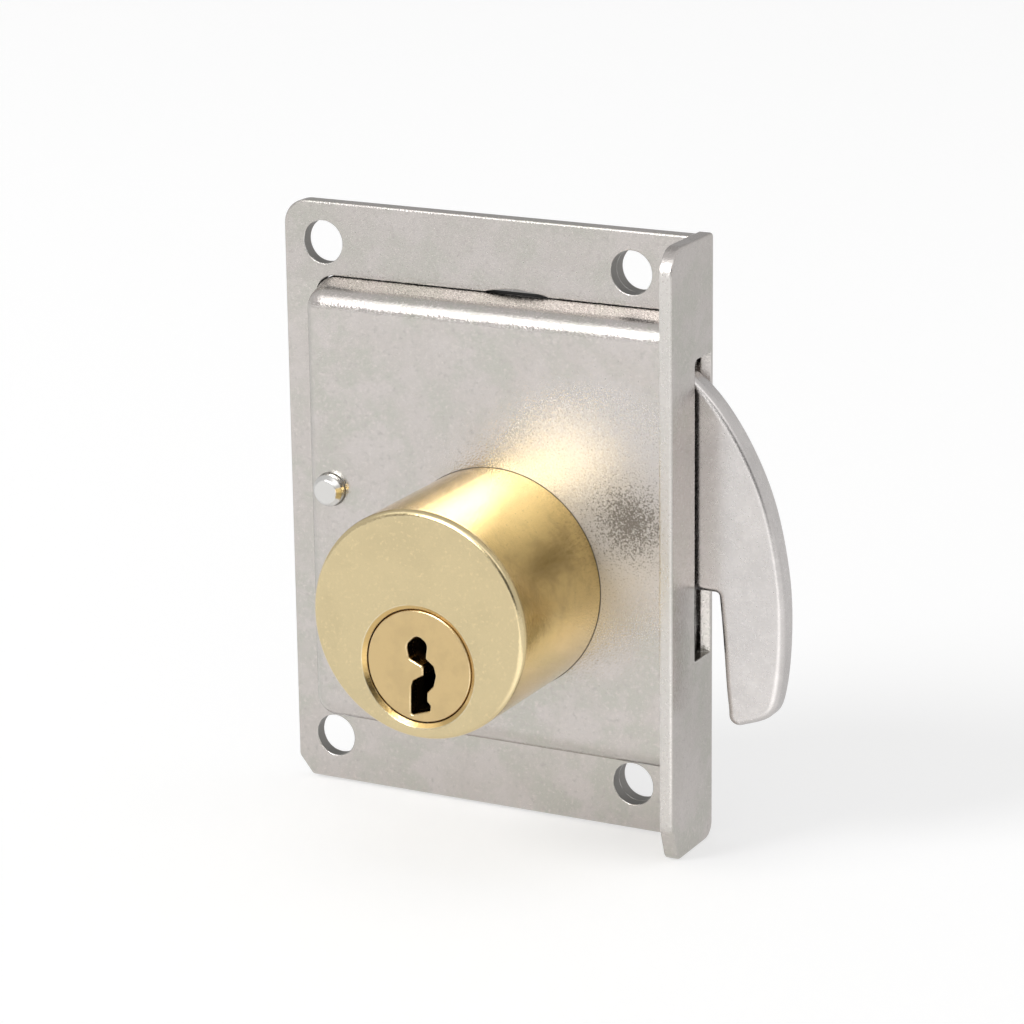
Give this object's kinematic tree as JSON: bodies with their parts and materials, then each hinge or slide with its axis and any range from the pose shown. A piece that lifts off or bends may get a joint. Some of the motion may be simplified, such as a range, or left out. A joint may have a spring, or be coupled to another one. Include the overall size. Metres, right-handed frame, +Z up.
{
  "type": "furniture lock",
  "caption": "Screw-on furniture lock: flat plate with a pressed case, brass key barrel, slotted forend and a curved hook bolt that swings out on a geared pivot.",
  "frame": {"origin": "middle of the four screw holes, on the front face of the plate", "axes": "+X to the right towards the forend and hook, +Y away from the viewer into the furniture, +Z up; the key barrel points along -Y"},
  "size_m": [0.0629, 0.0263, 0.0699],
  "materials": {
    "satin_nickel": "satin",
    "bright_nickel": "polished",
    "hook_steel": "satin",
    "zinc_steel": "satin",
    "spring_steel": "satin",
    "barrel_brass": "satin",
    "plug_brass": "satin",
    "pin_brass": "satin"
  },
  "bodies": {
    "case": {"face_plate": "satin_nickel", "forend": "satin_nickel", "case_pan": "satin_nickel", "back_cover": "satin_nickel", "stud_post": "bright_nickel", "cover_post": "zinc_steel", "hook_pivot_post": "zinc_steel", "hook_washer": "zinc_steel", "stop_pin": "zinc_steel", "cylinder_body": "barrel_brass", "driver_springs": "spring_steel", "chamber_plugs": "barrel_brass", "cylinder_screws": "zinc_steel", "cover_screws": "zinc_steel", "detent_spring": "spring_steel", "spring_anchor_post": "zinc_steel"},
    "hook": {"hook_bolt": "hook_steel"},
    "plug": {"cylinder_plug": "plug_brass", "drive_pinion": "hook_steel", "pinion_screw": "zinc_steel", "plug_clip": "spring_steel"},
    "key_pin_set": {"key_pins": "pin_brass"},
    "driver_pin_set": {"driver_pins": "pin_brass"}
  },
  "joints": [
    {"name": "hook_swing", "type": "hinge", "parent": "case", "child": "hook", "pos_m": [0.01659, 0, -0.01123], "axis": [0, -1, 0], "range_deg": [0, 90], "deforming": ["detent_spring"]},
    {"name": "plug_turn", "type": "hinge", "parent": "case", "child": "plug", "pos_m": [0.0046, 0, -0.01075], "axis": [0, -1, 0], "range_deg": [-90, 0]},
    {"name": "key_pin_slide", "type": "slide", "parent": "plug", "child": "key_pin_set", "axis": [0, 0, 1], "range_m": [-0.0018, 0]},
    {"name": "driver_pin_slide", "type": "slide", "parent": "case", "child": "driver_pin_set", "axis": [0, 0, 1], "range_m": [0, 0.0018], "stiffness_N_per_m": 300, "springref_m": -0.001, "deforming": ["driver_springs"]}
  ],
  "couplings": [
    {"joint": "plug_turn", "follows": "hook_swing", "ratio": -1}
  ]
}
